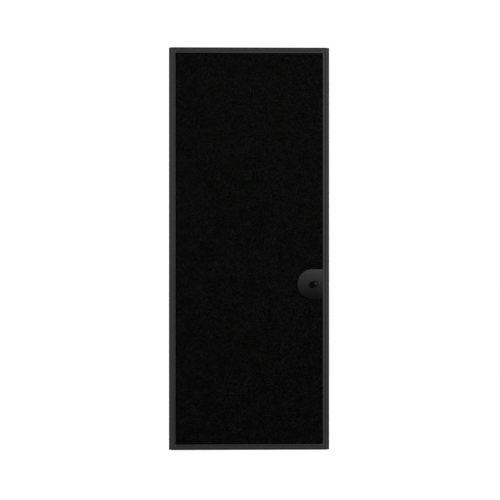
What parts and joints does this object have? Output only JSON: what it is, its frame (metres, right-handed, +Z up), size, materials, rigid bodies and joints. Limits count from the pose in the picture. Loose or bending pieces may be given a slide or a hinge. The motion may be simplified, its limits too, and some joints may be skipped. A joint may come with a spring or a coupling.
{
  "type": "blind access door",
  "caption": "Pre-hung access door for a hard-sided hunting blind: slim ribbed metal frame, flat black carpet panel, ball knob on a D-shaped plate, sliding latch bolt, and butt hinges.",
  "frame": {"origin": "middle of the sill's bottom face", "axes": "+Z up along the door's height, +X towards the lock side seen from inside the blind, +Y towards the outside of the blind, the way the leaf opens"},
  "size_m": [0.61, 0.1152, 1.532],
  "materials": {
    "jamb_metal": "satin",
    "leaf_metal": "satin",
    "corner_trim": "satin",
    "seal_rubber": "matte",
    "latch_steel": "satin",
    "hinge_steel": "satin",
    "screw_steel": "satin",
    "core_plywood": "matte",
    "carpet": "matte",
    "outer_skin": "matte",
    "escutcheon_plastic": "satin",
    "knob_gloss": "gloss"
  },
  "bodies": {
    "jamb": {"jamb_hinge_side": "jamb_metal", "jamb_lock_side": "jamb_metal", "jamb_head": "jamb_metal", "jamb_sill": "jamb_metal", "jamb_corner_top_left": "corner_trim", "jamb_corner_top_right": "corner_trim", "jamb_corner_bottom_left": "corner_trim", "jamb_corner_bottom_right": "corner_trim", "stop_seal_left": "seal_rubber", "stop_seal_right": "seal_rubber", "stop_seal_top": "seal_rubber", "stop_seal_bottom": "seal_rubber", "strike_plate": "latch_steel", "strike_screw_lower": "screw_steel", "strike_screw_upper": "screw_steel", "hinge_fixed_leaf_bottom": "hinge_steel", "hinge_fixed_leaf_middle": "hinge_steel", "hinge_fixed_leaf_top": "hinge_steel", "hinge_pin_bottom": "hinge_steel", "hinge_pin_middle": "hinge_steel", "hinge_pin_top": "hinge_steel", "hinge_jamb_screw_bottom_lower": "screw_steel", "hinge_jamb_screw_bottom_upper": "screw_steel", "hinge_jamb_screw_middle_lower": "screw_steel", "hinge_jamb_screw_middle_upper": "screw_steel", "hinge_jamb_screw_top_lower": "screw_steel", "hinge_jamb_screw_top_upper": "screw_steel"},
    "door_leaf": {"stile_hinge": "leaf_metal", "stile_lock": "leaf_metal", "rail_top": "leaf_metal", "rail_bottom": "leaf_metal", "corner_block_top_left": "corner_trim", "corner_block_top_right": "corner_trim", "corner_block_bottom_left": "corner_trim", "corner_block_bottom_right": "corner_trim", "core_panel": "core_plywood", "carpet_face": "carpet", "outer_skin": "outer_skin", "hinge_door_leaf_bottom": "hinge_steel", "hinge_door_leaf_middle": "hinge_steel", "hinge_door_leaf_top": "hinge_steel", "hinge_door_screw_bottom_lower": "screw_steel", "hinge_door_screw_bottom_upper": "screw_steel", "hinge_door_screw_middle_lower": "screw_steel", "hinge_door_screw_middle_upper": "screw_steel", "hinge_door_screw_top_lower": "screw_steel", "hinge_door_screw_top_upper": "screw_steel", "inner_escutcheon": "escutcheon_plastic", "outer_escutcheon": "escutcheon_plastic", "escutcheon_bolt_lower": "screw_steel", "escutcheon_bolt_upper": "screw_steel", "latch_case": "latch_steel", "latch_faceplate": "latch_steel", "faceplate_screw_lower": "screw_steel", "faceplate_screw_upper": "screw_steel"},
    "knob": {"inner_knob": "knob_gloss", "outer_knob": "knob_gloss", "spindle": "latch_steel", "pinion": "latch_steel"},
    "bolt": {"rack_bolt": "latch_steel"}
  },
  "joints": [
    {"name": "door_swing", "type": "hinge", "parent": "jamb", "child": "door_leaf", "pos_m": [-0.29675, 0.019, 0.766], "axis": [0, 0, 1], "range_deg": [0, 170]},
    {"name": "knob_turn", "type": "hinge", "parent": "door_leaf", "child": "knob", "pos_m": [0.2498, 0, 0.6324], "axis": [0, 1, 0], "range_deg": [0, 90]},
    {"name": "bolt_throw", "type": "slide", "parent": "door_leaf", "child": "bolt", "axis": [1, 0, 0], "range_m": [0, 0.00754]}
  ],
  "couplings": [
    {"joint": "knob_turn", "follows": "bolt_throw", "rad_per_m": 208.33}
  ]
}
